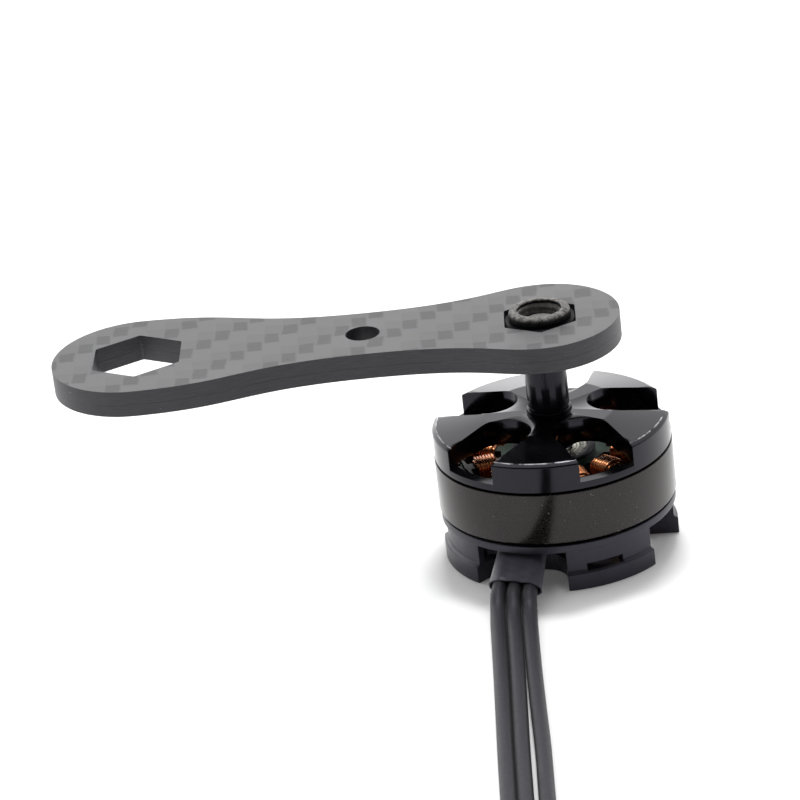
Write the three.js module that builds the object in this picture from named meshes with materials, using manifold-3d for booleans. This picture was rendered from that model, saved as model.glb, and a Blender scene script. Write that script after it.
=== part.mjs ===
// A small brushless outrunner motor with its prop lock nut and the two-ended spanner that fits the nut.
// Millimetres, +Z up. The motor stands on z = 0 and its axis is at x = AXIS_X, y = 0.
// Angles marked "from the front" are in degrees from -Y towards +X.
import * as THREE from "three";
import { mergeVertices } from "three/addons/utils/BufferGeometryUtils.js";
import Module from "manifold-3d";

// ---------------------------------------------------------------- driving dimensions
const BELL_R = 13.95; // outside of the rotating bell
const ROUND = 48; // facets of the large turned parts
const ROUND_SMALL = 24; // facets of the bearings and other small turned parts
const SLIP = 0.02; // radial clearance of a pressed or glued fit
const TOUCH = 0.05; // gap left between pieces that lie against each other

const BASE = {
  footR: 13.8, footTop: 1.95, wallR: 13.35, wallFrom: 3.5, wallIn: 12.5, lipR: 13.8, lipFrom: 4.86, top: 5.86,
  floor: 2.1, hubR: 5.6, hubTop: 2.8,
};
// The wall and foot stand in four sectors, [start, end] from the front, with notches between them.
const SECTORS = [[0.8, 49.2], [85.5, 132.5], [180.8, 229.2], [265.5, 312.5]];
const NOTCH = { innerR: 7.8, cornerR: 2.8, outerR: 20 };
const SCREWS = { near: 8.0, far: 9.5, first: 25, r: 1.25, bossR: 2.5, bossTop: 3.2 };
const WINDOW = { from: 2.1, to: 3.0, startMargin: 10, endMargin: 19 };

const TUBE = { r: 4.9, top: 12.25, shoulderR: 3.1 };
const BEARING = {
  bore: 1.5, r: 4.0, height: 4.0, lowerAt: 0.8, upperAt: 8.2,
  outerLand: 3.3, outerGroove: 3.47, innerLand: 2.2, innerGroove: 2.04, grooveHalf: 0.3, landHalf: 0.6,
};
const BALLS = { count: 7, r: 0.62, circleR: 2.75, cageIn: 2.55, cageOut: 2.95, cageHalf: 0.3 };

const STATOR = {
  r: 11.0, from: 7.4, to: 11.4, arms: 12, turn: 15, hubR: 6.2, armWidth: 1.5, tipR: 10.2, tipRise: 0.25,
  tipAngle: 24,
};
const INSULATOR = { thick: 0.45, shrink: 0.15 };
const COIL = { innerR: 6.65, outerR: 9.9, thick: 0.8, rise: 0.9 };

const MAGNETS = { count: 14, innerR: 11.25, outerR: 12.55, angle: 22.5, from: 6.5, to: 12.2 };
const RING = { innerR: 12.6, from: 6.2, to: 12.38 };
const CAP = {
  r: 13.87, from: 12.5, bevelFrom: 15.8, rimTop: 16.15, rimR: 13.32, discTop: 17.1, discR: 7.7,
  boreR: 2.65, bossR: 4.4, bossTo: 14.1, webR: 12.15, webFrom: 14.05, under: 13.85,
};
const SLOTS = { count: 5, first: 25.8, halfWidth: 3.5, centreR: 8.0, floor: 13.5 };

const SHAFT = { r: 1.48, from: 0.25, to: 20.8, grooveR: 1.2, grooveFrom: 0.35, grooveTo: 0.75 };
const STUD = {
  from: 12.65, collarR: 2.6, collarTop: 17.45, neckR: 2.2, smoothFrom: 17.8, smoothR: 2.45,
  threadFrom: 22.9, threadR: 2.2, top: 28.3, boreTop: 21.0,
};
const SHIM = { innerR: 1.55, outerR: 2.15 };
const CIRCLIP = { innerR: 1.25, outerR: 2.3, from: 0.4, to: 0.7, halfGap: 35 };

const NUT = {
  flats: 8.0, from: 24.8, hexTop: 28.6, chamferR: 4.1, cornerR: 4.75, chamferRise: 0.4,
  domeR: 3.6, domeRound: 0.5, top: 29.8, boreR: 2.25,
  pocketFrom: 27.9, pocketTo: 29.4, pocketR: 2.75, mouthR: 2.55,
};
const INSERT = { innerR: 2.32, outerR: 2.68 };

const WRENCH = {
  thick: 3.1, from: 25.7, span: 46.85, noseSmall: 9.25, noseLarge: 10.0, waist: 5.9, waistAt: 20.0,
  flatsSmall: 8.24, flatsLarge: 10.1, cornerR: 0.3, holeR: 2.0, holeAt: 20.55,
  // how the loose socket sits on the nut, in degrees: its back edge a little high, its far end a little back
  tilt: 1.28, turn: -0.7,
  // lengths of the handles of the edge curves
  curveSmall: 5.1, curveWaistSmall: 13.6, curveWaistLarge: 15.4, curveLarge: 12.3,
};

const WIRE = {
  diameter: 1.8, pitch: 1.9, lie: 0.92, middleX: -6.4, drift: [-0.1, -0.12, 0.2],
  coilR: 10.0, coilArc: 46.0, coilY: -74.0,
};
const SLEEVE = { inner: [-4.4, -8.2, 4.3], outer: [-5.95, -16.3, 2.35], width: 6.2, height: 2.4 };
const TIP = { length: 4.0, r: 0.5, gap: 0.3 };

// The middle of the motor and spanner together is the part's own x = 0.
const AXIS_X = (WRENCH.span + WRENCH.noseLarge - BELL_R) / 2;

// ---------------------------------------------------------------- helpers
const wasm = await Module();
wasm.setup();
const rad = THREE.MathUtils.degToRad;

function asSolid(geometry) {
  const plain = geometry.clone();
  plain.deleteAttribute("normal");
  plain.deleteAttribute("uv");
  const merged = mergeVertices(plain, 1e-4);
  const mesh = new wasm.Mesh({
    numProp: 3,
    vertProperties: merged.attributes.position.array,
    triVerts: new Uint32Array(merged.index.array),
  });
  return new wasm.Manifold(mesh);
}

function asGeometry(solid) {
  const mesh = solid.getMesh();
  const geometry = new THREE.BufferGeometry();
  geometry.setAttribute("position", new THREE.BufferAttribute(mesh.vertProperties, 3));
  geometry.setIndex(new THREE.BufferAttribute(mesh.triVerts, 1));
  geometry.computeVertexNormals();
  return geometry;
}

// A turned piece about +Z. The profile is [r, z] pairs, counter-clockwise seen with r to the right and z up.
function turned(profile, facets = ROUND) {
  const points = profile.map(([r, z]) => new THREE.Vector2(r, z));
  if (profile[0][0] > 0) points.push(points[0].clone());
  return new THREE.LatheGeometry(points, facets).rotateX(Math.PI / 2);
}

function cylinder(r, from, to, facets = ROUND_SMALL) {
  return turned([[0, from], [r, from], [r, to], [0, to]], facets);
}

// Each arc of the outline gets twice curveSegments facets.
function extruded(shape, from, to, curveSegments = 3) {
  const options = { depth: to - from, bevelEnabled: false, curveSegments };
  return new THREE.ExtrudeGeometry(shape, options).translate(0, 0, from);
}

// The polar angle, in radians from +X, of an angle given in degrees from the front.
function polar(fromFront) {
  return rad(fromFront - 90);
}

// An outline in polar coordinates: arcs is a list of [r, startAngle, endAngle] in radians.
function arcOutline(arcs) {
  const shape = new THREE.Shape();
  arcs.forEach(([r, start, end]) => shape.absarc(0, 0, r, start, end, end < start));
  return shape;
}

// A regular polygon with corners at radius r, the first at the angle start.
function polygon(r, sides, start = 0, Outline = THREE.Shape) {
  const outline = new Outline();
  for (let i = 0; i < sides; i += 1) {
    const a = start + (2 * Math.PI * i) / sides;
    if (i === 0) outline.moveTo(r * Math.cos(a), r * Math.sin(a));
    else outline.lineTo(r * Math.cos(a), r * Math.sin(a));
  }
  outline.closePath();
  return outline;
}

const finishes = {
  anodised: { color: 0x0c0c0e, roughness: 0.18, metalness: 0.9 },
  satinBlack: { color: 0x1c1c22, roughness: 0.45, metalness: 0.6 },
  ringBlack: { color: 0x2b2826, roughness: 0.4, metalness: 0.5 },
  steel: { color: 0xb5b5b8, roughness: 0.25, metalness: 1.0 },
  laminate: { color: 0x2c322c, roughness: 0.5, metalness: 0.4 },
  insulator: { color: 0x1f3024, roughness: 0.5, metalness: 0.0 },
  copper: { color: 0xb4652f, roughness: 0.3, metalness: 1.0 },
  magnet: { color: 0x26272a, roughness: 0.35, metalness: 0.2 },
  nylon: { color: 0x4a4a4a, roughness: 0.5, metalness: 0.0 },
  carbon: { color: 0x8a8a8a, roughness: 0.55, metalness: 0.0 },
  silicone: { color: 0x38383b, roughness: 0.6, metalness: 0.0 },
  sleeve: { color: 0x23222c, roughness: 0.45, metalness: 0.0 },
  tin: { color: 0xc8c8c4, roughness: 0.3, metalness: 1.0 },
};

function piece(name, geometry, finish) {
  const mesh = new THREE.Mesh(geometry, new THREE.MeshStandardMaterial(finishes[finish]));
  mesh.name = name;
  return mesh;
}

// ---------------------------------------------------------------- base with bearing tube
// A ring's sector between two angles from the front.
function wedge(startAngle, endAngle, innerR, outerR, from, to) {
  const start = polar(startAngle);
  const end = polar(endAngle);
  return extruded(arcOutline([[innerR, end, start], [outerR, start, end]]), from, to, 4);
}

// The space between two sectors, with rounded inner corners.
function notchCutter(from, to) {
  const { innerR, cornerR, outerR } = NOTCH;
  const start = polar(from);
  const end = polar(to);
  const centreR = innerR + cornerR;
  const inset = Math.asin(cornerR / centreR);
  const outline = new THREE.Shape();
  const corner = (angle, startTurn, endTurn) => {
    outline.absarc(centreR * Math.cos(angle), centreR * Math.sin(angle), cornerR, startTurn, endTurn, false);
  };
  outline.absarc(0, 0, outerR, start, end, false);
  corner(end - inset, end + Math.PI / 2, end - inset + Math.PI);
  outline.absarc(0, 0, innerR, end - inset, start + inset, true);
  corner(start + inset, start + inset + Math.PI, start + 1.5 * Math.PI);
  return extruded(outline, -1, BASE.lipFrom, 3);
}

function makeBase() {
  const bore = BEARING.r + SLIP;
  const lowerTop = BEARING.lowerAt + BEARING.height + TOUCH;
  let solid = asSolid(turned([
    [bore, 0], [BASE.footR, 0], [BASE.footR, BASE.footTop], [BASE.footR - 0.27, BASE.footTop + 0.35],
    [BASE.wallR + 0.05, BASE.footTop + 0.9], [BASE.wallR, BASE.wallFrom], [BASE.wallR, BASE.lipFrom],
    [BASE.lipR, BASE.lipFrom + 0.15],
    [BASE.lipR, BASE.top], [BASE.wallIn, BASE.top], [BASE.wallIn, BASE.floor], [BASE.hubR, BASE.floor],
    [TUBE.r, BASE.hubTop], [TUBE.r, TUBE.top], [bore, TUBE.top], [bore, BEARING.upperAt - TOUCH],
    [TUBE.shoulderR, BEARING.upperAt - TOUCH], [TUBE.shoulderR, lowerTop], [bore, lowerTop],
  ]));
  for (let i = 0; i < 4; i += 1) {
    const angle = polar(SCREWS.first + 90 * i);
    const away = i % 2 === 0 ? SCREWS.near : SCREWS.far;
    const x = away * Math.cos(angle);
    const y = away * Math.sin(angle);
    solid = solid.add(asSolid(cylinder(SCREWS.bossR, 0, SCREWS.bossTop).translate(x, y, 0)));
    solid = solid.subtract(asSolid(cylinder(SCREWS.r, -1, SCREWS.bossTop + 1).translate(x, y, 0)));
  }
  SECTORS.forEach(([, end], i) => {
    const next = i + 1 < SECTORS.length ? SECTORS[i + 1][0] : SECTORS[0][0] + 360;
    solid = solid.subtract(asSolid(notchCutter(end, next)));
  });
  for (const [start, end] of [SECTORS[0], SECTORS[2]]) {
    const from = start + WINDOW.startMargin;
    const to = end - WINDOW.endMargin;
    const inside = BASE.wallIn - 0.5;
    solid = solid.subtract(asSolid(wedge(from, to, inside, NOTCH.outerR, WINDOW.from, WINDOW.to)));
  }
  return piece("motor_base", asGeometry(solid), "satinBlack");
}

// ---------------------------------------------------------------- ball bearings
function makeBearing(label, at) {
  const { bore, r, height, outerLand, outerGroove, innerLand, innerGroove, grooveHalf, landHalf } = BEARING;
  const middle = height / 2;
  const outer = turned([
    [outerLand, 0], [r, 0], [r, height], [outerLand, height], [outerLand, middle + landHalf],
    [outerGroove, middle + grooveHalf], [outerGroove, middle - grooveHalf], [outerLand, middle - landHalf],
  ], ROUND_SMALL);
  const inner = turned([
    [bore, 0], [innerLand, 0], [innerLand, middle - landHalf], [innerGroove, middle - grooveHalf],
    [innerGroove, middle + grooveHalf], [innerLand, middle + landHalf], [innerLand, height], [bore, height],
  ], ROUND_SMALL);
  const parts = [
    piece(`${label}_bearing_outer_race`, outer, "steel"),
    piece(`${label}_bearing_inner_race`, inner, "steel"),
    piece(`${label}_bearing_balls`, asGeometry(ballsAndCage(middle)), "steel"),
  ];
  parts.forEach((part) => part.position.setZ(at));
  return parts;
}

// The balls, joined by the cage that spaces them.
function ballsAndCage(middle) {
  const { count, r, circleR, cageIn, cageOut, cageHalf } = BALLS;
  let balls = asSolid(turned([
    [cageIn, middle - cageHalf], [cageOut, middle - cageHalf],
    [cageOut, middle + cageHalf], [cageIn, middle + cageHalf],
  ], 2 * count));
  for (let i = 0; i < count; i += 1) {
    const a = (2 * Math.PI * i) / count;
    const ball = new THREE.SphereGeometry(r, 6, 5).rotateX(Math.PI / 2);
    ball.translate(circleR * Math.cos(a), circleR * Math.sin(a), middle);
    balls = balls.add(asSolid(ball));
  }
  return balls;
}

// ---------------------------------------------------------------- stator
function statorOutline(shrink) {
  const shape = new THREE.Shape();
  const pitch = (2 * Math.PI) / STATOR.arms;
  const halfArm = STATOR.armWidth / 2;
  const halfTip = rad(STATOR.tipAngle / 2) - shrink / STATOR.r;
  const outer = STATOR.r - shrink;
  const inner = STATOR.tipR + shrink;
  for (let i = 0; i < STATOR.arms; i += 1) {
    const a = rad(STATOR.turn) + i * pitch;
    const rootHalf = Math.asin(halfArm / STATOR.hubR);
    const neckHalf = Math.asin(halfArm / inner);
    const at = (r, angle) => [r * Math.cos(angle), r * Math.sin(angle)];
    if (i === 0) shape.moveTo(...at(STATOR.hubR, a - rootHalf));
    else shape.lineTo(...at(STATOR.hubR, a - rootHalf));
    shape.lineTo(...at(inner, a - neckHalf));
    shape.lineTo(...at(inner + STATOR.tipRise, a - halfTip));
    shape.absarc(0, 0, outer, a - halfTip, a + halfTip, false);
    shape.lineTo(...at(inner + STATOR.tipRise, a + halfTip));
    shape.lineTo(...at(inner, a + neckHalf));
    shape.lineTo(...at(STATOR.hubR, a + rootHalf));
  }
  shape.closePath();
  shape.holes.push(polygon(TUBE.r + TOUCH, ROUND_SMALL, 0, THREE.Path));
  return shape;
}

function makeStator() {
  const core = extruded(statorOutline(0), STATOR.from, STATOR.to, 1);
  const upperFrom = STATOR.to + TOUCH;
  const lowerTo = STATOR.from - TOUCH;
  const upper = extruded(statorOutline(INSULATOR.shrink), upperFrom, upperFrom + INSULATOR.thick, 1);
  const lower = extruded(statorOutline(INSULATOR.shrink), lowerTo - INSULATOR.thick, lowerTo, 1);
  return [
    piece("stator_core", core, "laminate"),
    piece("stator_insulator_upper", upper, "insulator"),
    piece("stator_insulator_lower", lower, "insulator"),
  ];
}

// One winding: a rounded rectangular ring round a stator arm, drawn across the arm and extruded along it.
function makeCoil(index) {
  const halfWidth = STATOR.armWidth / 2 + TOUCH;
  const halfHeight = (STATOR.to - STATOR.from) / 2 + INSULATOR.thick + 2 * TOUCH;
  const outerWidth = halfWidth + COIL.thick;
  const outerHeight = halfHeight + COIL.rise;
  const round = COIL.thick;
  const ring = new THREE.Shape();
  ring.moveTo(outerWidth, outerHeight - round);
  ring.absarc(outerWidth - round, outerHeight - round, round, 0, Math.PI / 2, false);
  ring.absarc(round - outerWidth, outerHeight - round, round, Math.PI / 2, Math.PI, false);
  ring.absarc(round - outerWidth, round - outerHeight, round, Math.PI, 1.5 * Math.PI, false);
  ring.absarc(outerWidth - round, round - outerHeight, round, 1.5 * Math.PI, 2 * Math.PI, false);
  const hole = new THREE.Path();
  hole.moveTo(halfWidth, halfHeight);
  hole.lineTo(halfWidth, -halfHeight);
  hole.lineTo(-halfWidth, -halfHeight);
  hole.lineTo(-halfWidth, halfHeight);
  hole.closePath();
  ring.holes.push(hole);
  const geometry = extruded(ring, COIL.innerR, COIL.outerR, 1);
  geometry.rotateX(Math.PI / 2);
  geometry.rotateY(Math.PI);
  geometry.rotateZ(Math.PI / 2);
  const mesh = piece(`winding_${String(index + 1).padStart(2, "0")}`, geometry, "copper");
  mesh.position.setZ((STATOR.from + STATOR.to) / 2);
  mesh.rotation.z = rad(STATOR.turn) + (2 * Math.PI * index) / STATOR.arms + Math.PI;
  return mesh;
}

// ---------------------------------------------------------------- rotor
function makeMagnet(index) {
  const half = rad(MAGNETS.angle / 2);
  const outline = arcOutline([[MAGNETS.innerR, half, -half], [MAGNETS.outerR, -half, half]]);
  const geometry = extruded(outline, MAGNETS.from, MAGNETS.to, 2);
  const mesh = piece(`magnet_${String(index + 1).padStart(2, "0")}`, geometry, "magnet");
  mesh.rotation.z = (2 * Math.PI * index) / MAGNETS.count;
  return mesh;
}

function makeFluxRing() {
  const profile = [[RING.innerR, RING.from], [BELL_R - 0.15, RING.from], [BELL_R, RING.from + 0.15]];
  profile.push([BELL_R, RING.to], [RING.innerR, RING.to]);
  return piece("flux_ring", turned(profile), "ringBlack");
}

function makeCap() {
  let solid = asSolid(turned([
    [RING.innerR, CAP.from], [CAP.r - 0.2, CAP.from], [CAP.r, CAP.from + 0.2], [CAP.r, CAP.bevelFrom],
    [CAP.r - 0.12, CAP.bevelFrom + 0.22], [CAP.rimR, CAP.rimTop], [CAP.discR, CAP.discTop],
    [CAP.boreR, CAP.discTop], [CAP.boreR, CAP.under], [CAP.bossR, CAP.under], [CAP.bossR, CAP.bossTo],
    [CAP.webR, CAP.webFrom], [RING.innerR, CAP.under],
  ]));
  for (let i = 0; i < SLOTS.count; i += 1) {
    const opening = new THREE.Shape();
    opening.moveTo(20, SLOTS.halfWidth);
    opening.absarc(SLOTS.centreR, 0, SLOTS.halfWidth, Math.PI / 2, 1.5 * Math.PI, false);
    opening.lineTo(20, -SLOTS.halfWidth);
    opening.closePath();
    const cutter = extruded(opening, SLOTS.floor, 20, 8);
    cutter.rotateZ(polar(SLOTS.first + (360 / SLOTS.count) * i));
    solid = solid.subtract(asSolid(cutter));
  }
  return piece("bell_cap", asGeometry(solid), "anodised");
}

function makeShaft() {
  return piece("motor_shaft", turned([
    [0, SHAFT.from], [SHAFT.grooveR, SHAFT.from], [SHAFT.grooveR, SHAFT.grooveTo],
    [SHAFT.r, SHAFT.grooveTo], [SHAFT.r, SHAFT.to], [0, SHAFT.to],
  ], ROUND_SMALL), "steel");
}

function makeStud() {
  return piece("prop_stud", turned([
    [0, STUD.boreTop], [SHAFT.r + SLIP, STUD.boreTop], [SHAFT.r + SLIP, STUD.from], [STUD.collarR, STUD.from],
    [STUD.collarR, STUD.collarTop], [STUD.neckR, STUD.collarTop + 0.05], [STUD.neckR, STUD.smoothFrom - 0.1],
    [STUD.smoothR, STUD.smoothFrom], [STUD.smoothR, STUD.threadFrom], [STUD.threadR, STUD.threadFrom + 0.2],
    [STUD.threadR, STUD.top - 0.4], [STUD.threadR - 0.35, STUD.top], [0, STUD.top],
  ], 32), "anodised");
}

function makeShim() {
  const from = TUBE.top + TOUCH;
  const to = STUD.from - TOUCH;
  const profile = [[SHIM.innerR, from], [SHIM.outerR, from], [SHIM.outerR, to], [SHIM.innerR, to]];
  return piece("shaft_shim", turned(profile, ROUND_SMALL), "steel");
}

function makeCirclip() {
  const open = rad(CIRCLIP.halfGap);
  const shut = 2 * Math.PI - open;
  const outline = arcOutline([[CIRCLIP.outerR, open, shut], [CIRCLIP.innerR, shut, open]]);
  return piece("shaft_circlip", extruded(outline, CIRCLIP.from, CIRCLIP.to, 10), "steel");
}

// ---------------------------------------------------------------- nut and its nylon insert
function makeNut() {
  const dome = asSolid(turned([
    [0, NUT.from], [NUT.domeR, NUT.from], [NUT.domeR, NUT.top - NUT.domeRound],
    [NUT.domeR - 0.8 * NUT.domeRound, NUT.top], [0, NUT.top],
  ], 32));
  const hex = asSolid(extruded(polygon(NUT.flats / Math.sqrt(3), 6, Math.PI / 2), NUT.from, NUT.hexTop));
  const chamfer = asSolid(turned([
    [0, NUT.from - 0.1], [NUT.chamferR, NUT.from - 0.1], [NUT.cornerR, NUT.from + NUT.chamferRise],
    [NUT.cornerR, NUT.hexTop - NUT.chamferRise], [NUT.chamferR, NUT.hexTop + 0.1], [0, NUT.hexTop + 0.1],
  ], 32));
  const bore = asSolid(turned([
    [0, NUT.from - 1], [NUT.boreR, NUT.from - 1], [NUT.boreR, NUT.pocketFrom], [NUT.pocketR, NUT.pocketFrom],
    [NUT.pocketR, NUT.pocketTo], [NUT.mouthR, NUT.pocketTo], [NUT.mouthR, NUT.top + 1], [0, NUT.top + 1],
  ], 32));
  return piece("lock_nut", asGeometry(hex.intersect(chamfer).add(dome).subtract(bore)), "satinBlack");
}

function makeInsert() {
  const from = NUT.pocketFrom + TOUCH;
  const to = NUT.pocketTo - TOUCH;
  const profile = [[INSERT.innerR, from], [INSERT.outerR, from], [INSERT.outerR, to], [INSERT.innerR, to]];
  return piece("nut_insert", turned(profile, 32), "nylon");
}

// ---------------------------------------------------------------- spanner
// A hexagonal hole with rounded corners, centred at x.
function hexHole(flats, x) {
  const hole = new THREE.Path();
  const cornerDistance = flats / Math.sqrt(3) - (2 * WRENCH.cornerR) / Math.sqrt(3);
  for (let i = 0; i < 6; i += 1) {
    const a = Math.PI / 2 - (i * Math.PI) / 3;
    const cx = x + cornerDistance * Math.cos(a);
    const cy = cornerDistance * Math.sin(a);
    hole.absarc(cx, cy, WRENCH.cornerR, a + Math.PI / 6, a - Math.PI / 6, true);
  }
  return hole;
}

function makeWrench() {
  const { span, noseSmall, noseLarge, waist, waistAt } = WRENCH;
  const nearWaist = -waistAt + WRENCH.curveWaistSmall;
  const farWaist = -waistAt - WRENCH.curveWaistLarge;
  const large = -span + WRENCH.curveLarge;
  const outline = new THREE.Shape();
  outline.absarc(0, 0, noseSmall, -Math.PI / 2, Math.PI / 2, false);
  outline.bezierCurveTo(-WRENCH.curveSmall, noseSmall, nearWaist, waist, -waistAt, waist);
  outline.bezierCurveTo(farWaist, waist, large, noseLarge, -span, noseLarge);
  outline.absarc(-span, 0, noseLarge, Math.PI / 2, 1.5 * Math.PI, false);
  outline.bezierCurveTo(large, -noseLarge, farWaist, -waist, -waistAt, -waist);
  outline.bezierCurveTo(nearWaist, -waist, -WRENCH.curveSmall, -noseSmall, 0, -noseSmall);
  outline.holes.push(hexHole(WRENCH.flatsSmall, 0), hexHole(WRENCH.flatsLarge, -span));
  const centreHole = new THREE.Path();
  centreHole.absarc(-WRENCH.holeAt, 0, WRENCH.holeR, 0, 2 * Math.PI, true);
  outline.holes.push(centreHole);
  const plate = piece("spanner", extruded(outline, 0, WRENCH.thick, 5), "carbon");
  plate.rotation.set(rad(WRENCH.tilt), 0, rad(WRENCH.turn));
  plate.position.setZ(WRENCH.from);
  return plate;
}

// ---------------------------------------------------------------- wires
const sleeveInner = new THREE.Vector3(...SLEEVE.inner);
const sleeveOuter = new THREE.Vector3(...SLEEVE.outer);
const sleeveDirection = sleeveOuter.clone().sub(sleeveInner).normalize();
const sleeveAcross = new THREE.Vector3(-sleeveDirection.y, sleeveDirection.x, 0).normalize();

function makeSleeve() {
  const half = SLEEVE.width / 2 - SLEEVE.height / 2;
  const section = new THREE.Shape();
  section.absarc(half, 0, SLEEVE.height / 2, -Math.PI / 2, Math.PI / 2, false);
  section.absarc(-half, 0, SLEEVE.height / 2, Math.PI / 2, 1.5 * Math.PI, false);
  const geometry = extruded(section, 0, sleeveInner.distanceTo(sleeveOuter), 4);
  const up = new THREE.Vector3().crossVectors(sleeveDirection, sleeveAcross);
  geometry.applyMatrix4(new THREE.Matrix4().makeBasis(sleeveAcross, up, sleeveDirection));
  geometry.translate(...SLEEVE.inner);
  return piece("wire_sleeve", geometry, "sleeve");
}

// A wire's route: out of the sleeve, down to the floor, away from the motor, then round most of a flat turn.
// side is -1, 0 or 1 from left to right.
function wireRoute(side) {
  const start = sleeveOuter.clone().addScaledVector(sleeveDirection, 0.35);
  start.addScaledVector(sleeveAcross, side * WIRE.pitch);
  const leave = start.clone().addScaledVector(sleeveDirection, 1.0);
  const x = WIRE.middleX + side * WIRE.pitch;
  const drift = WIRE.drift[side + 1];
  const points = [
    start,
    leave,
    new THREE.Vector3(x + 0.08, -19.4 - 0.16 * side, 1.25),
    new THREE.Vector3(x, -22.0, WIRE.lie),
    new THREE.Vector3(x, -27, WIRE.lie),
    new THREE.Vector3(x + 0.1 * drift, -34, WIRE.lie),
    new THREE.Vector3(x + 0.5 * drift, -43, WIRE.lie),
    new THREE.Vector3(x + drift, -52, WIRE.lie),
    new THREE.Vector3(x + drift, -61, WIRE.lie),
    new THREE.Vector3(x + drift, -68, WIRE.lie),
  ];
  const centre = new THREE.Vector2(WIRE.middleX - WIRE.pitch - WIRE.coilR, WIRE.coilY);
  const r = x + drift - centre.x;
  const turn = WIRE.coilArc / r;
  const steps = Math.ceil(turn / rad(30));
  for (let i = 0; i <= steps; i += 1) {
    const a = -(turn * i) / steps;
    points.push(new THREE.Vector3(centre.x + r * Math.cos(a), centre.y + r * Math.sin(a), WIRE.lie));
  }
  return points;
}

function makeWire(side) {
  const name = ["left", "middle", "right"][side + 1];
  const route = wireRoute(side);
  const curve = new THREE.CatmullRomCurve3(route, false, "centripetal");
  const options = { extrudePath: curve, steps: 34, bevelEnabled: false };
  const wire = new THREE.ExtrudeGeometry(polygon(WIRE.diameter / 2, 8), options);
  const tipFrom = curve.getPoint(1);
  const ahead = curve.getTangent(1);
  tipFrom.addScaledVector(ahead, TIP.gap);
  const tipTo = tipFrom.clone().addScaledVector(ahead, TIP.length);
  const tipOptions = { extrudePath: new THREE.LineCurve3(tipFrom, tipTo), steps: 1, bevelEnabled: false };
  const tip = new THREE.ExtrudeGeometry(polygon(TIP.r, 8), tipOptions);
  return [piece(`phase_wire_${name}`, wire, "silicone"), piece(`wire_tip_${name}`, tip, "tin")];
}

// ---------------------------------------------------------------- assembly
const motor = new THREE.Group();
motor.position.setX(AXIS_X);
motor.add(makeBase());
motor.add(...makeBearing("lower", BEARING.lowerAt), ...makeBearing("upper", BEARING.upperAt));
motor.add(...makeStator());
for (let i = 0; i < STATOR.arms; i += 1) motor.add(makeCoil(i));
for (let i = 0; i < MAGNETS.count; i += 1) motor.add(makeMagnet(i));
motor.add(makeFluxRing(), makeCap(), makeShaft(), makeStud(), makeShim(), makeCirclip());
motor.add(makeNut(), makeInsert(), makeWrench());
motor.add(makeSleeve());
for (const side of [-1, 0, 1]) motor.add(...makeWire(side));

const part = new THREE.Group();
part.add(motor);
export default part;
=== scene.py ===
"""A small brushless outrunner motor with its lock nut and two-ended spanner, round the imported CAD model.

Shapes are drawn in millimetres with the motor's axis at x = y = 0, then moved into the row frame (metres).
Angles "from the front" are degrees from -Y towards +X.
"""

import math

import bmesh
import bpy
from mathutils import Matrix, Quaternion, Vector


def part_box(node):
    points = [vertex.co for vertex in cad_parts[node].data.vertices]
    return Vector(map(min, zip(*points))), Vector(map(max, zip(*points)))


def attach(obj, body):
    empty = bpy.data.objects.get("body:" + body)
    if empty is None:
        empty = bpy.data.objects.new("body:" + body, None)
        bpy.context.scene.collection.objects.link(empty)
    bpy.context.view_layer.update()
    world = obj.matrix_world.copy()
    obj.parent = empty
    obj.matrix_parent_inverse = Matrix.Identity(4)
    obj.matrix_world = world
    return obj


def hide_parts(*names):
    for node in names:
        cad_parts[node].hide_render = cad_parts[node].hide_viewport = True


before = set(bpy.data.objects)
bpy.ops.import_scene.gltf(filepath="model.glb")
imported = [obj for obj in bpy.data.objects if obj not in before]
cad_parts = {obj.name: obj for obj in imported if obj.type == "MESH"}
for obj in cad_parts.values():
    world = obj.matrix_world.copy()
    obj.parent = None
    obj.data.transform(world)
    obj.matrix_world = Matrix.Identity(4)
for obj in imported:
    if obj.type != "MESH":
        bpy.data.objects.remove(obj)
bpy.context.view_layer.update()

# ---------------------------------------------------------------- driving dimensions, millimetres
MM = 0.001
RING_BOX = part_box("flux_ring")
AXIS = (RING_BOX[0] + RING_BOX[1]) / 2
TO_ROW = Matrix.Translation((AXIS.x, AXIS.y, 0)) @ Matrix.Scale(MM, 4)
# facets round a full turn
RING_FACETS = 256
CAP_FACETS = 240
BASE_FACETS = 192
SMALL_FACETS = 96
SHAFT_FACETS = 64
POST_FACETS = 48
# how far a cutter reaches above and below the piece, and a radius outside every piece
OVERCUT = 1
BEYOND = 20

# base: its four sectors, each from one angle to another, stand between four notches
SECTORS = ((0.8, 49.2), (85.5, 132.5), (180.8, 229.2), (265.5, 312.5))
NOTCH_R = 7.8
NOTCH_CORNER_R = 2.8
BASE_R = 13.8
BASE_WALL_R = 13.33
BASE_TOP = 5.86
LIP_LOW = 4.86
LIP_IN_R = 12.5
FOOT_TOP = 1.95
BASE_FLOOR = 2.1
TUBE_R = 4.9
TUBE_TOP = 12.25
SEAT_R = 4.02
SEAT_LOW = 4.85
SEAT_HIGH = 8.15
SHOULDER_R = 3.1
# the cooling window: from one angle to another, its lower and upper edge, and how deep it goes
WINDOW = (10.8, 30.2, 2.1, 3.0)
WINDOW_IN_R = 12.0
# M3 screws, by turns on the small and the large circle
FIRST_SCREW = 25
SCREW_CIRCLES = (8.0, 9.5)
BOSS_R = 2.5
BOSS_LOW = 0.3
BOSS_TOP = 3.2
DRILL_R = 1.5
DRILL_MOUTH_R = 1.75

# windings and magnets
MAGNETS = 14
ARMS = 12
FIRST_ARM = 15
COIL_WIRE_R = 0.19
COIL_TURNS = 8
COIL_FROM = 6.68
COIL_TO = 9.86
COIL_HALF_W = 0.8
COIL_HALF_H = 2.52
COIL_LAYER = 0.34

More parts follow.
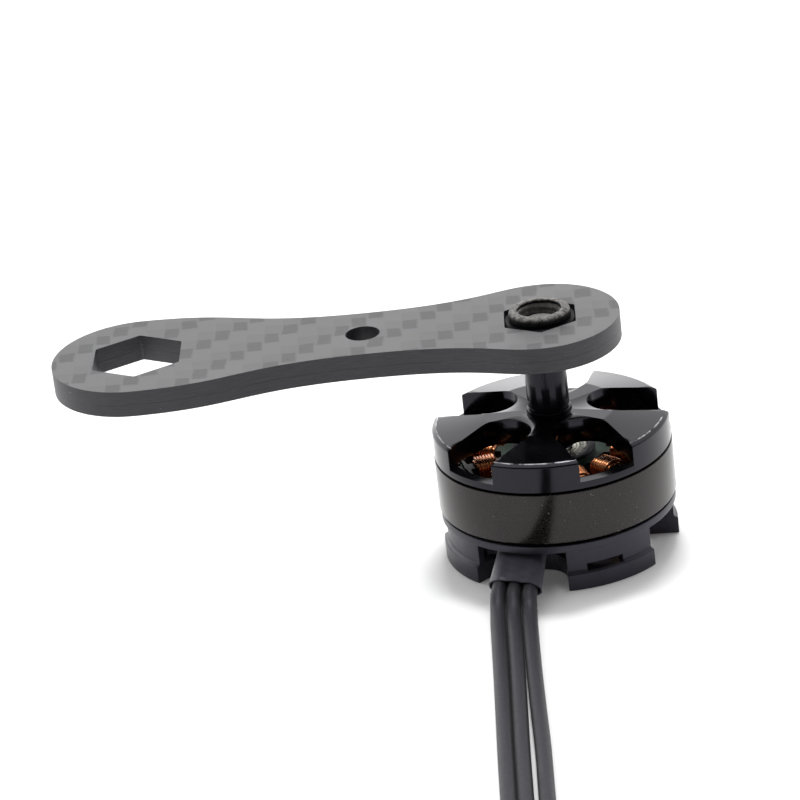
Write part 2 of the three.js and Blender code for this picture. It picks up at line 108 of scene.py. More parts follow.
# bell
BELL_R = (RING_BOX[1].x - RING_BOX[0].x) / 2 / MM
RING_IN_R = 12.6
CAP_R = 13.87
CAP_RIM_R = 13.32
CAP_RIM_TOP = 16.15
CAP_DISC_R = 7.7
CAP_BORE_R = 2.65
CAP_UNDER = 13.85
CAP_BOSS_R = 4.4
CAP_WEB_R = 12.15
CAP_WEB_LOW = 14.1
SLOT_COUNT = 5
FIRST_SLOT = 25.8
SLOT_HALF = 3.5
SLOT_CENTRE_R = 8.0
SLOT_FLOOR = 13.5

# stud and shaft
COLLAR_R = 2.6
COLLAR_TOP = 17.45
NECK_R = 2.2
STUD_R = 2.45
STUD_SMOOTH_TOP = 22.85
STUD_CORE_R = 2.1
SHAFT_R = 1.5
SHAFT_END = 21.0
SHAFT_SLIP = 0.02
TAIL_R = 1.2
TAIL_TOP = 0.75

# threads: the radius of the crest, then of the root
THREAD_PITCH = 0.8
STUD_THREAD = (2.40, 2.02)
NUT_THREAD = (2.12, 2.50)
INSERT_THREAD = (2.43, 2.56)

# nut
NUT_FLATS = 8.0
NUT_HEX_TOP = 28.6
NUT_DOME_R = 3.6
NUT_MOUTH_R = 2.54
INSERT_R = 2.75
INSERT_LOW = 27.9
INSERT_TOP = 29.4

# spanner: drawn from the small socket's centre towards -X, then seated on the nut
SPAN = 46.85
NOSE_SMALL = 9.25
NOSE_LARGE = 10.0
WAIST = 5.9
WAIST_AT = 20.0
# reach of the outline's curves: from the small nose to the waist, and from the waist to the large nose
SMALL_REACH = (5.1, 13.6)
LARGE_REACH = (15.4, 12.3)
SOCKET_SMALL = 8.24
SOCKET_LARGE = 10.1
SOCKET_CORNER_R = 0.32
HOLE_R = 2.0
HOLE_AT = 20.55
SPANNER_LOW = 25.7
SPANNER_THICK = 3.1
TILT = math.radians(1.28)
TURN = math.radians(-0.7)
# the weave's tow widths along and across the spanner, and the centre of one dark crossing
TOW = (2.01, 2.06)
DARK_CROSSING = (1.1, 1.35)

# wires and sleeve
WIRE_R = 0.9
WIRE_PITCH = 1.80
WIRE_MIDDLE_X = -6.4
WIRE_LIE = 0.92
# how far the left, middle and right wire wander sideways
WIRE_DRIFT = (-0.1, -0.14, 0.3)
WIRE_INSIDE = 1.5
WIRE_COIL_R = 10.0
WIRE_COIL_ARC = 46.0
WIRE_COIL_Y = -74.0
TIP_LENGTH = 4.0
TIP_R = 0.5
TIP_STRANDS = 7
SLEEVE_INNER = Vector((-4.4, -8.2, 4.3))
SLEEVE_OUTER = Vector((-5.95, -16.3, 2.35))
SLEEVE_HALF_W = 2.85
SLEEVE_HALF_H = 1.12

# ---------------------------------------------------------------- camera and light, metres in the row frame
# the lens and its sensor are in millimetres
LENS = 176.2
SENSOR = 36.0
CAMERA_PLACE = Vector((AXIS.x, -0.41820, 0.19998))
CAMERA_FORWARD = Vector((-0.037638, 0.917951, -0.394905))
CAMERA_ROLL = math.radians(-6.802)

LAMP_PLACE = Vector((AXIS.x + 0.03, 0.16, 0.46))
LAMP_AIM = Vector((AXIS.x, 0, 0.012))
LAMP_SIZE = (0.10, 0.07)
LAMP_POWER = 1.3

# the tent's brightness: low down, halfway up and overhead; on the left and right; at the camera
HORIZON, MIDDLE, OVERHEAD = 2.4, 1.3, 1.5
LEFT_GAIN, RIGHT_GAIN = 1.25, 0.9
CAMERA_SIDE = 0.05
FLOOR_GLOW = 0.05
FLOOR_HALF = 4
# a hair below the part, so that the two flat faces don't coincide
FLOOR_Z = -0.00002

# the colour of the sheen on black finishes
VIOLET = (0.87, 0.84, 1.0)


def z_range(node):
    """Lowest and highest z of a CAD node, in millimetres."""
    low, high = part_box(node)
    return low.z / MM, high.z / MM


def polar(from_front):
    """An angle from the front, as radians from +X."""
    return math.radians(from_front - 90)


# ---------------------------------------------------------------- camera
def make_camera():
    data = bpy.data.cameras.new("camera")
    data.lens = LENS
    data.sensor_width = SENSOR
    data.clip_start = 0.01
    data.clip_end = 20.0
    camera = bpy.data.objects.new("camera", data)
    bpy.context.scene.collection.objects.link(camera)
    camera.location = CAMERA_PLACE
    roll = Quaternion((0, 0, 1), CAMERA_ROLL)
    camera.rotation_mode = "QUATERNION"
    camera.rotation_quaternion = CAMERA_FORWARD.to_track_quat("-Z", "Y") @ roll
    bpy.context.scene.camera = camera


# ---------------------------------------------------------------- materials
class Finish:
    """A Principled material whose texture coordinates are millimetres in the row frame."""

    def __init__(self, name, color, roughness, metallic=0.0, **sockets):
        self.material = bpy.data.materials.new(name)
        self.material.use_nodes = True
        self.tree = self.material.node_tree
        self.shader = self.tree.nodes["Principled BSDF"]
        self.shader.inputs["Base Color"].default_value = (*color, 1)
        self.shader.inputs["Roughness"].default_value = roughness
        self.shader.inputs["Metallic"].default_value = metallic
        for socket, value in sockets.items():
            self.shader.inputs[socket.replace("_", " ")].default_value = value
        coordinates = self.tree.nodes.new("ShaderNodeTexCoord")
        scaled = self.add("ShaderNodeMapping", Vector=coordinates.outputs["Object"])
        scaled.inputs["Location"].default_value = (-AXIS.x / MM, -AXIS.y / MM, 0)
        scaled.inputs["Scale"].default_value = (1 / MM,) * 3
        self.place = scaled.outputs["Vector"]

    def add(self, kind, settings=(), **inputs):
        """A node. Inputs are values or sockets; an input named i0, i1, ... is given by its place."""
        node = self.tree.nodes.new(kind)
        for key, value in dict(settings).items():
            setattr(node, key, value)
        for key, value in inputs.items():
            by_place = key[0] == "i" and key[1:].isdigit()
            socket = node.inputs[int(key[1:])] if by_place else node.inputs[key.replace("_", " ")]
            if isinstance(value, bpy.types.NodeSocket):
                self.tree.links.new(value, socket)
            else:
                socket.default_value = value
        return node

    def math(self, operation, a, b=0.0):
        return self.add("ShaderNodeMath", {"operation": operation}, i0=a, i1=b).outputs[0]

    def noise(self, scale, detail=3.0, stretch=(1, 1, 1), roughness=0.5):
        place = self.add("ShaderNodeMapping", Vector=self.place, Scale=stretch).outputs[0]
        made = self.add("ShaderNodeTexNoise", Vector=place, Scale=scale, Detail=detail, Roughness=roughness)
        return made.outputs["Fac"]

    def rings(self, scale, detail):
        """Uneven rings round the motor's axis, as a lathe leaves them."""
        settings = {"noise_dimensions": "1D"}
        made = self.add("ShaderNodeTexNoise", settings, W=self.radius(), Scale=scale, Detail=detail)
        return made.outputs["Fac"]

    def spread(self, value, low, high, to_low=0.0, to_high=1.0):
        """Maps value from low..high to to_low..to_high, clamped."""
        inputs = dict(i0=value, i1=low, i2=high, i3=to_low, i4=to_high)
        return self.add("ShaderNodeMapRange", {"clamp": True}, **inputs).outputs[0]

    def mix(self, factor, a, b, blend="MIX"):
        """A colour between a and b, or b blended over a."""
        node = self.add("ShaderNodeMix", {"data_type": "RGBA", "blend_type": blend}, i0=factor)
        for socket, value in ((node.inputs[6], a), (node.inputs[7], b)):
            if isinstance(value, bpy.types.NodeSocket):
                self.tree.links.new(value, socket)
            else:
                socket.default_value = (*value, 1)
        return node.outputs[2]

    def grey(self, value):
        """The same value in all three channels."""
        return self.add("ShaderNodeCombineColor", Red=value, Green=value, Blue=value).outputs[0]

    def axes(self):
        """x, y and z in millimetres."""
        return self.add("ShaderNodeSeparateXYZ", Vector=self.place).outputs

    def radius(self):
        """Distance from the motor's axis."""
        x, y, _ = self.axes()
        return self.math("SQRT", self.math("ADD", self.math("MULTIPLY", x, x), self.math("MULTIPLY", y, y)))

    def facing_up(self):
        """1 where the surface faces straight up, 0 where it is upright."""
        normal = self.add("ShaderNodeNewGeometry").outputs["Normal"]
        return self.add("ShaderNodeSeparateXYZ", Vector=normal).outputs["Z"]

    def use_spanner_frame(self):
        """Texture coordinates along the spanner, with z = 0 on its underside."""
        lowered = self.add("ShaderNodeMapping", Vector=self.place, Location=(0, 0, -SPANNER_LOW)).outputs[0]
        self.place = self.add("ShaderNodeMapping", Vector=lowered, Rotation=(-TILT, 0, -TURN)).outputs[0]

    def tint(self, color):
        """Colours the sheen of a black finish."""
        self.shader.inputs["Specular Tint"].default_value = (*color, 1)

    def color(self, socket):
        self.tree.links.new(socket, self.shader.inputs["Base Color"])

    def roughness(self, socket):
        self.tree.links.new(socket, self.shader.inputs["Roughness"])

    def bump(self, height, depth_mm, strength=1.0):
        node = self.add("ShaderNodeBump", Height=height, Distance=depth_mm * MM, Strength=strength)
        self.tree.links.new(node.outputs["Normal"], self.shader.inputs["Normal"])


def anodised_finish():
    """Gloss black anodising over turned aluminium: lathe rings, smudges, and the rim's edge painted pale in
    patches, as rubbed metal and as a painted highlight.
    """
    black = (0.0014, 0.0014, 0.0022)
    f = Finish("gloss_black_anodised", black, 0.14, IOR=1.41)
    f.tint(VIOLET)
    smudge = f.noise(0.35, 4.0)
    f.roughness(f.spread(smudge, 0.3, 0.7, 0.10, 0.17))
    f.bump(f.math("MULTIPLY", f.rings(9.0, 2.0), f.spread(f.facing_up(), 0.3, 0.5)), 0.001)
    # the rim's top edge is painted pale in patches: partly rubbed metal, partly a painted highlight along the
    # edge
    from_rim = f.math("ABSOLUTE", f.math("SUBTRACT", f.radius(), CAP_RIM_R + 0.04))
    near_top = f.spread(f.axes()[2], CAP_RIM_TOP - 0.20, CAP_RIM_TOP - 0.10)
    on_rim = f.math("MULTIPLY", f.spread(from_rim, 0.04, 0.10, 1.0, 0.0), near_top)
    rubbed_and_highlight = f.math("MULTIPLY", on_rim, f.spread(f.noise(0.8, 4.0), 0.42, 0.62))
    f.color(f.mix(rubbed_and_highlight, black, (0.50, 0.50, 0.52)))
    return f.material


def stud_finish(top):
    """The same black anodising, with the end face at z = top rubbed grey."""
    black = (0.004, 0.004, 0.006)
    f = Finish("black_anodised_stud", black, 0.16, IOR=1.35)
    f.tint(VIOLET)
    f.roughness(f.spread(f.noise(0.6, 3.0), 0.3, 0.7, 0.12, 0.20))
    f.color(f.mix(f.spread(f.axes()[2], top - 0.04, top), black, (0.22, 0.21, 0.20)))
    return f.material


def satin_finish():
    """Satin black anodising with a blue cast, over a fine-blasted surface."""
    f = Finish("satin_black_anodised", (0.014, 0.014, 0.020), 0.34, IOR=1.5)
    f.tint(VIOLET)
    cloud = f.noise(0.5, 3.0)
    f.color(f.mix(f.spread(cloud, 0.3, 0.7), (0.010, 0.010, 0.015), (0.016, 0.016, 0.024)))
    f.roughness(f.spread(cloud, 0.3, 0.7, 0.31, 0.42))
    f.bump(f.noise(12.0, 2.0), 0.004, 0.6)
    return f.material


def ring_finish():
    """Brown-black coated steel with a fine pale speckle and a few pits."""
    f = Finish("speckled_black_steel", (0.010, 0.009, 0.008), 0.20, IOR=1.44)
    f.tint((1.0, 0.93, 0.94))
    fine = f.noise(7.0, 3.0, roughness=0.7)
    coarse = f.noise(2.2, 2.0)
    tone = f.mix(f.spread(fine, 0.42, 0.68), (0.003, 0.0027, 0.0022), (0.028, 0.024, 0.019))
    pits = f.spread(f.noise(2.8, 1.0), 0.745, 0.775)
    cloudy = f.mix(f.spread(coarse, 0.45, 0.7, 0.0, 0.5), tone, (0.007, 0.0065, 0.006))
    f.color(f.mix(pits, cloudy, (0.20, 0.19, 0.17)))
    f.roughness(f.spread(fine, 0.35, 0.65, 0.12, 0.22))
    f.bump(fine, 0.003, 0.5)
    return f.material


def steel_finish():
    """Ground bearing steel with fine turning marks."""
    f = Finish("bearing_steel", (0.60, 0.60, 0.62), 0.22, 1.0)
    f.roughness(f.spread(f.noise(1.5), 0.3, 0.7, 0.16, 0.30))
    f.bump(f.rings(14.0, 3.0), 0.002)
    return f.material


def laminate_finish():
    """Stacked stator sheets with a thin coating: one line for each sheet."""
    f = Finish("stator_laminations", (0.05, 0.06, 0.05), 0.5, 0.4)
    half_sheet = 0.1
    sheet = f.math("PINGPONG", f.axes()[2], half_sheet)
    f.color(f.mix(f.spread(sheet, 0.0, 0.03), (0.012, 0.014, 0.012), (0.06, 0.07, 0.06)))
    f.bump(f.spread(sheet, 0.0, 0.04), 0.02)
    return f.material


def insulator_finish():
    """Dark green slot liner."""
    f = Finish("slot_insulator_green", (0.018, 0.050, 0.030), 0.42)
    f.color(f.mix(f.spread(f.noise(1.2), 0.3, 0.7), (0.007, 0.022, 0.013), (0.016, 0.040, 0.025)))
    f.bump(f.noise(9.0), 0.006)
    return f.material


def copper_finish():
    """Enamelled copper wire: warm metal under a clear orange coat."""
    f = Finish("enamelled_copper", (0.72, 0.26, 0.09), 0.28, 1.0, Coat_Weight=0.6, Coat_Roughness=0.08)
    f.color(f.mix(f.spread(f.noise(1.3), 0.35, 0.65), (0.56, 0.17, 0.055), (0.95, 0.42, 0.19)))
    f.roughness(f.spread(f.noise(5.0), 0.3, 0.7, 0.2, 0.4))
    return f.material


def magnet_finish():
    """Dark grey, slightly uneven, far darker than bare magnet plating."""
    f = Finish("dark_magnet", (0.020, 0.021, 0.024), 0.32)
    f.roughness(f.spread(f.noise(1.8), 0.3, 0.7, 0.24, 0.42))
    f.bump(f.noise(6.0), 0.006)
    return f.material


def race_finish():
    """Ground bearing steel under a film of oil: paler and warmer than bare steel, in dark and pale rings."""
    f = Finish("bearing_face", (0.80, 0.77, 0.70), 0.30, 0.85)
    f.color(f.mix(f.spread(f.rings(2.6, 1.0), 0.42, 0.56), (0.16, 0.18, 0.15), (0.86, 0.84, 0.74)))
    f.roughness(f.spread(f.noise(2.2), 0.3, 0.7, 0.22, 0.38))
    return f.material


def oxide_finish(top):
    """Black-oxide steel, painted lighter in patches along the crown of the nut on faces that look up, as
    scuffs and as a painted sheen from above; its top is at z = top.
    """
    f = Finish("black_oxide_nut", (0.004, 0.004, 0.005), 0.42, IOR=1.35, Specular_IOR_Level=0.1)
    z = f.axes()[2]
    # painted sheen: the crown's upward faces are lightened in patches, partly as scuffs, partly as light from
    # above
    crown_facing_up = f.math("MULTIPLY", f.spread(z, top - 0.9, top - 0.4), f.spread(f.facing_up(), -0.1, 0.65))
    scuff = f.spread(f.noise(1.9, 6.0, roughness=0.8), 0.40, 0.60)
    scuff_and_sheen = f.math("MULTIPLY", crown_facing_up, f.spread(scuff, 0.0, 1.0, 0.2, 1.0))
    f.color(f.mix(scuff_and_sheen, (0.003, 0.003, 0.004), (0.24, 0.23, 0.22)))
    f.roughness(f.spread(f.noise(5.0, 3.0), 0.3, 0.7, 0.34, 0.54))
    f.bump(f.noise(5.0, 4.0), 0.022, 0.8)
    return f.material


def nylon_finish():
    """Grey nylon, slightly translucent."""
    f = Finish("nylon_insert", (0.10, 0.10, 0.10), 0.4, Subsurface_Weight=0.1, Subsurface_Scale=0.0005)
    f.color(f.mix(f.spread(f.noise(2.5), 0.3, 0.7), (0.105, 0.102, 0.105), (0.22, 0.213, 0.206)))
    f.bump(f.noise(8.0), 0.006)
    return f.material


def weave_finish():
    """Matte carbon twill: one dark crossing in four along each row, a step left for each row down."""
    f = Finish("carbon_twill", (0.15, 0.15, 0.155), 0.5)
    f.use_spanner_frame()
    wander = f.spread(f.noise(0.25, 1.0), 0.2, 0.8, -0.12, 0.12)
    u, v = (
        f.math("ADD", f.math("DIVIDE", f.math("SUBTRACT", place, centre - tow / 2), tow), wander)
        for place, centre, tow in zip(f.axes(), DARK_CROSSING, TOW)
    )
    crossings = [crossing(f, u, f.math("ADD", v, shift)) for shift in (-0.2, 0.2)]
    dark = f.math("MAXIMUM", crossings[0][0], crossings[1][0])
    second = f.math("MULTIPLY", crossings[0][1], 0.22)
    pillow = crossings[0][2]
    fibre_x = f.noise(1.0, 3.0, (0.35, 11.0, 1.0))
    fibre_y = f.noise(1.0, 3.0, (11.0, 0.35, 1.0))
    fibre = f.mix(dark, f.grey(fibre_x), f.grey(fibre_y))
    tone = f.mix(f.math("MAXIMUM", dark, second), (0.093, 0.093, 0.096), (0.046, 0.046, 0.048))
    streaked = f.mix(0.26, tone, fibre, "OVERLAY")
    f.color(f.mix(0.18, streaked, f.grey(f.noise(0.12, 2.0)), "OVERLAY"))
    f.roughness(f.spread(fibre_x, 0.3, 0.7, 0.46, 0.56))
    f.bump(f.math("ADD", f.math("MULTIPLY", pillow, 0.5), f.math("MULTIPLY", fibre_x, 0.5)), 0.012, 0.5)
    return f.material


def crossing(f, u, v):
    """1 on a dark crossing, 1 on the cell after it, and the distance from the cell's edge. In tows."""
    step = f.math("FLOORED_MODULO", f.math("SUBTRACT", f.math("FLOOR", u), f.math("FLOOR", v)), 4.0)
    inside = f.math("MINIMUM", f.math("PINGPONG", u, 0.5), f.math("PINGPONG", v, 0.5))
    dark = f.math("MULTIPLY", f.math("LESS_THAN", step, 0.5), f.spread(inside, 0.0, 0.15))
    return dark, f.math("GREATER_THAN", step, 2.5), inside


def ply_finish():
    """The milled edge of the laminate: stacked plies as fine lines, a dark seam and a few pale ends."""
    f = Finish("carbon_edge", (0.045, 0.044, 0.048), 0.46)
    f.use_spanner_frame()
    z = f.axes()[2]
    plies = 12
    ply = f.math("DIVIDE", z, SPANNER_THICK / plies)
    lines = f.spread(f.math("PINGPONG", ply, 0.5), 0.0, 0.22)
    streak = f.noise(1.0, 4.0, (0.5, 0.5, 9.0), 0.6)
    tone = f.mix(f.spread(streak, 0.3, 0.7), (0.023, 0.021, 0.027), (0.049, 0.045, 0.051))
    lined = f.mix(f.math("MULTIPLY", f.math("SUBTRACT", 1.0, lines), 0.35), tone, (0.020, 0.020, 0.023))
    from_seam = f.math("ABSOLUTE", f.math("SUBTRACT", z, SPANNER_THICK / 2 - 0.15))
    seam = f.math("MULTIPLY", f.spread(from_seam, 0.03, 0.10, 1.0, 0.0), f.spread(f.noise(0.3), 0.4, 0.5))
    seamed = f.mix(f.math("MULTIPLY", seam, 0.65), lined, (0.010, 0.010, 0.012))
    speck = f.spread(f.noise(3.2, 1.0), 0.80, 0.83)
    f.color(f.mix(f.math("MULTIPLY", speck, 0.6), seamed, (0.35, 0.35, 0.34)))
    f.bump(f.math("ADD", streak, f.math("MULTIPLY", lines, 0.4)), 0.02, 0.6)
    return f.material


def silicone_finish():
    """Soft black silicone: matte, a little dusty, faint lengthwise drawing marks."""
    sheen = dict(Sheen_Weight=0.04, Sheen_Roughness=0.5)
    f = Finish("black_silicone", (0.012, 0.011, 0.013), 0.56, IOR=1.42, **sheen)
    f.tint(VIOLET)
    dust = f.noise(1.6, 5.0, roughness=0.65)
    drawn = f.noise(1.0, 2.0, (6.0, 0.25, 6.0))
    tone = f.mix(f.spread(dust, 0.35, 0.7), (0.007, 0.0065, 0.008), (0.016, 0.015, 0.018))
    f.color(f.mix(f.spread(drawn, 0.4, 0.7, 0.0, 0.35), tone, (0.024, 0.023, 0.026)))
    f.roughness(f.spread(dust, 0.3, 0.7, 0.5, 0.64))
    f.bump(dust, 0.012, 0.5)
    return f.material


def shrink_finish():
    """Heat-shrink tube: smoother than the wires, faint wrinkles and a bluish sheen."""
    f = Finish("heat_shrink", (0.062, 0.058, 0.080), 0.40, Sheen_Weight=0.1)
    wrinkle = f.noise(0.9, 2.0, (1, 1, 1.6))
    f.roughness(f.spread(wrinkle, 0.3, 0.7, 0.34, 0.46))
    f.bump(wrinkle, 0.03, 0.4)
    return f.material


def tin_finish():
    """Wire strands under a thin coat of solder."""
    f = Finish("tinned_copper", (0.66, 0.66, 0.64), 0.3, 1.0)
    f.roughness(f.spread(f.noise(3.0), 0.3, 0.7, 0.22, 0.42))
    f.bump(f.noise(4.0), 0.01)
    return f.material


# ---------------------------------------------------------------- mesh helpers
def new_object(name, bm):
    """An object with the mesh that is drawn in bm, which is freed."""
    mesh = bpy.data.meshes.new(name)
    bm.normal_update()
    bm.to_mesh(mesh)
    bm.free()
    made = bpy.data.objects.new(name, mesh)
    bpy.context.scene.collection.objects.link(made)
    return made


def filleted(corners, steps=4):
    """Rounds the corners of a closed outline. Each corner is (a, b, radius)."""
    points = []
    for i, (a, b, radius) in enumerate(corners):
        here = Vector((a, b))
        if radius <= 0:
            points.append(here)
            continue
        back = Vector(corners[i - 1][:2]) - here
        ahead = Vector(corners[(i + 1) % len(corners)][:2]) - here
        half = back.angle(ahead) / 2
        reach = min(radius / math.tan(half), 0.48 * back.length, 0.48 * ahead.length)
        r = reach * math.tan(half)
        centre = here + (back.normalized() + ahead.normalized()).normalized() * (r / math.sin(half))
        start = here + back.normalized() * reach - centre
        end = here + ahead.normalized() * reach - centre
        turn = math.atan2(start.x * end.y - start.y * end.x, start.dot(end))
        for k in range(steps + 1):
            c = math.cos(turn * k / steps)
            s = math.sin(turn * k / steps)
            points.append(centre + Vector((c * start.x - s * start.y, s * start.x + c * start.y)))
    return points


def lathe(name, profile, facets=SMALL_FACETS):
    """A closed (r, z) outline, counter-clockwise with r to the right, turned about the axis."""
    bm = bmesh.new()
    angles = [2 * math.pi * i / facets for i in range(facets)]
    rings = []
    for r, z in profile:
        if r == 0:
            rings.append([bm.verts.new((0, 0, z))])
            continue
        rings.append([bm.verts.new((r * math.cos(a), r * math.sin(a), z)) for a in angles])
    for ring, after in zip(rings, rings[1:] + rings[:1]):
        if len(ring) == 1 and len(after) == 1:
            continue
        for i in range(facets):
            j = (i + 1) % facets
            if len(ring) == 1:
                bm.faces.new((ring[0], after[j], after[i]))
            elif len(after) == 1:
                bm.faces.new((ring[i], ring[j], after[0]))
            else:
                bm.faces.new((ring[i], ring[j], after[j], after[i]))
    return new_object(name, bm)


def prism(name, outline, low, high):
    """An outline of (x, y) points, counter-clockwise, raised from z = low to z = high."""
    bm = bmesh.new()
    bottom = [bm.verts.new((x, y, low)) for x, y in outline]
    top = [bm.verts.new((x, y, high)) for x, y in outline]
    bm.faces.new(reversed(bottom))
    bm.faces.new(top)
    for i in range(len(outline)):
        j = (i + 1) % len(outline)
        bm.faces.new((bottom[i], bottom[j], top[j], top[i]))
    return new_object(name, bm)


def arc(r, start, end, count, x=0.0, y=0.0):
    """Points on an arc, both ends included; angles in radians."""
    angles = [start + (end - start) * i / (count - 1) for i in range(count)]
    return [(x + r * math.cos(a), y + r * math.sin(a)) for a in angles]


def applied(made):
    """Makes the result of the object's modifiers its mesh."""
    graph = bpy.context.evaluated_depsgraph_get()
    mesh = bpy.data.meshes.new_from_object(made.evaluated_get(graph))
    made.modifiers.clear()
    made.data = mesh


def combine(made, others, operation="DIFFERENCE"):
    """Cuts the others out of made, joins them to it or keeps the overlap, and removes them."""
    for other in others:
        modifier = made.modifiers.new("combine", "BOOLEAN")
        modifier.operation = operation
        modifier.object = other
        modifier.solver = "EXACT"
    applied(made)
    for other in others:
        bpy.data.objects.remove(other)


def chamfered(made, width, angle=40):
    """Breaks every edge that turns by more than the angle, in degrees."""
    modifier = made.modifiers.new("edge", "BEVEL")
    modifier.width = width
    modifier.segments = 2
    modifier.limit_method = "ANGLE"
    modifier.angle_limit = math.radians(angle)
    applied(made)


def tidy(made):
    """Drops doubled points and slivers that cutting leaves."""
    sliver = 0.002
    bm = bmesh.new()
    bm.from_mesh(made.data)
    bmesh.ops.remove_doubles(bm, verts=bm.verts, dist=sliver)
    bmesh.ops.dissolve_degenerate(bm, edges=bm.edges, dist=sliver)
    bm.to_mesh(made.data)
    bm.free()


def finished(made, body, materials, nodes=(), sharp=30, weighted=False):
    """Moves a piece into the row frame, gives it its body and materials, and hides the CAD nodes that it
    stands for.
    """
    made.data.transform(TO_ROW)
    made.data.materials.clear()
    for material in materials:
        made.data.materials.append(material)
    if made.type == "MESH":
        made.data.shade_smooth()
        made.data.set_sharp_from_angle(angle=math.radians(sharp))
    if weighted:
        modifier = made.modifiers.new("even_normals", "WEIGHTED_NORMAL")
        modifier.keep_sharp = True
        modifier.weight = 80
    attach(made, body)
    if nodes:
        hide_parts(*nodes)
    return made


def thread(name, crest, root, low, high, backing):
    """A closed ring: a helical thread on one face, and a plain wall at the radius backing on the other."""
    facets, rows = 72, 8
    runout = root + (crest - root) * 0.2
    count = int(math.ceil((high - low) / THREAD_PITCH) + 1) * rows
    bm = bmesh.new()
    grid = []
    for i in range(facets + 1):
        a = 2 * math.pi * i / facets
        column = []
        for j in range(-rows, count):
            # 1 on the crest and 0 in the root, with a small flat on each
            phase = abs((j % rows) / rows - 0.5) * 2
            flank = min(1.0, max(0.0, (phase - 0.12) / 0.72))
            z = low + THREAD_PITCH * (j / rows + i / facets)
            r = root + (crest - root) * flank if low < z < high else runout
            column.append(bm.verts.new((r * math.cos(a), r * math.sin(a), min(max(z, low), high))))
        grid.append(column)
    for column, after in zip(grid, grid[1:]):
        for j in range(len(column) - 1):
            bm.faces.new((column[j], after[j], after[j + 1], column[j + 1]))
    bmesh.ops.remove_doubles(bm, verts=bm.verts, dist=0.004)
    for z in (low, high):
        edges = [e for e in bm.edges if e.is_boundary and all(abs(v.co.z - z) < 1e-4 for v in e.verts)]
        wall = bmesh.ops.extrude_edge_only(bm, edges=edges)["geom"]
        for v in (g for g in wall if isinstance(g, bmesh.types.BMVert)):
            outwards = backing / math.hypot(v.co.x, v.co.y)
            v.co.x *= outwards
            v.co.y *= outwards
    bmesh.ops.bridge_loops(bm, edges=[e for e in bm.edges if e.is_boundary])
    bmesh.ops.recalc_face_normals(bm, faces=bm.faces)
    return new_object(name, bm)


# ---------------------------------------------------------------- wires
def sleeve_axes():
    """Unit vectors along the sleeve, towards its mouth, and level across it."""
    along = (SLEEVE_OUTER - SLEEVE_INNER).normalized()
    across = Vector((-along.y, along.x, 0)).normalized()
    return along, across


def wire_route(side):
    """The wire's route from the sleeve's mouth: down to the floor, away, then round most of a flat turn."""
    along, across = sleeve_axes()
    start = SLEEVE_OUTER + along * 0.35 + across * side * WIRE_PITCH
    x = WIRE_MIDDLE_X + side * WIRE_PITCH
    drift = WIRE_DRIFT[side + 1]
    points = [
        start,
        start + along * 1.0,
        Vector((x + 0.08, -19.4 - 0.16 * side, 1.25)),
        Vector((x, -22, WIRE_LIE)),
        Vector((x, -27, WIRE_LIE)),
        Vector((x + 0.1 * drift, -34, WIRE_LIE)),
        Vector((x + 0.5 * drift, -43, WIRE_LIE)),
        Vector((x + drift, -52, WIRE_LIE)),
        Vector((x + drift, -61, WIRE_LIE)),
        Vector((x + drift, -68, WIRE_LIE)),
    ]
    centre_x = WIRE_MIDDLE_X - WIRE_PITCH - WIRE_COIL_R
    r = x + drift - centre_x
    turn = WIRE_COIL_ARC / r
    steps = math.ceil(turn / math.radians(30))
    for i in range(steps + 1):
        a = -turn * i / steps
        points.append(Vector((centre_x + r * math.cos(a), WIRE_COIL_Y + r * math.sin(a), WIRE_LIE)))
    return points


def smooth_path(points, per_span=10):
    """A centripetal Catmull-Rom curve through the points."""
    ends = [points[0] * 2 - points[1], *points, points[-1] * 2 - points[-2]]
    path = []
    for p0, p1, p2, p3 in zip(ends, ends[1:], ends[2:], ends[3:]):
        d1, d2, d3 = ((b - a).length ** 0.5 for a, b in ((p0, p1), (p1, p2), (p2, p3)))
        m1 = (p1 - p0) / d1 - (p2 - p0) / (d1 + d2) + (p2 - p1) / d2
        m2 = (p2 - p1) / d2 - (p3 - p1) / (d2 + d3) + (p3 - p2) / d3
        m1, m2 = m1 * d2, m2 * d2
        for k in range(per_span):
            t = k / per_span
            a = 2 * t**3 - 3 * t**2 + 1
            b = t**3 - 2 * t**2 + t
            c = -2 * t**3 + 3 * t**2
            d = t**3 - t**2
            path.append(p1 * a + m1 * b + p2 * c + m2 * d)
    return path + [points[-1]]


def round_curve(name, path, radius, resolution=6):
    """A round wire along the path."""
    data = bpy.data.curves.new(name, "CURVE")
    data.dimensions = "3D"
    data.bevel_depth = radius
    data.bevel_resolution = resolution
    data.use_fill_caps = True
    spline = data.splines.new("POLY")
    spline.points.add(len(path) - 1)
    for point, place in zip(spline.points, path):
        point.co = (*place, 1)
    made = bpy.data.objects.new(name, data)
    bpy.context.scene.collection.objects.link(made)
    return made


def close_tube(bm, rings):
    """Joins each ring of points to the next and closes both ends."""
    for ring, after in zip(rings, rings[1:]):
        for j in range(len(ring)):
            k = (j + 1) % len(ring)
            bm.faces.new((ring[j], ring[k], after[k], after[j]))
    bm.faces.new(reversed(rings[0]))
    bm.faces.new(rings[-1])
    bmesh.ops.recalc_face_normals(bm, faces=bm.faces)


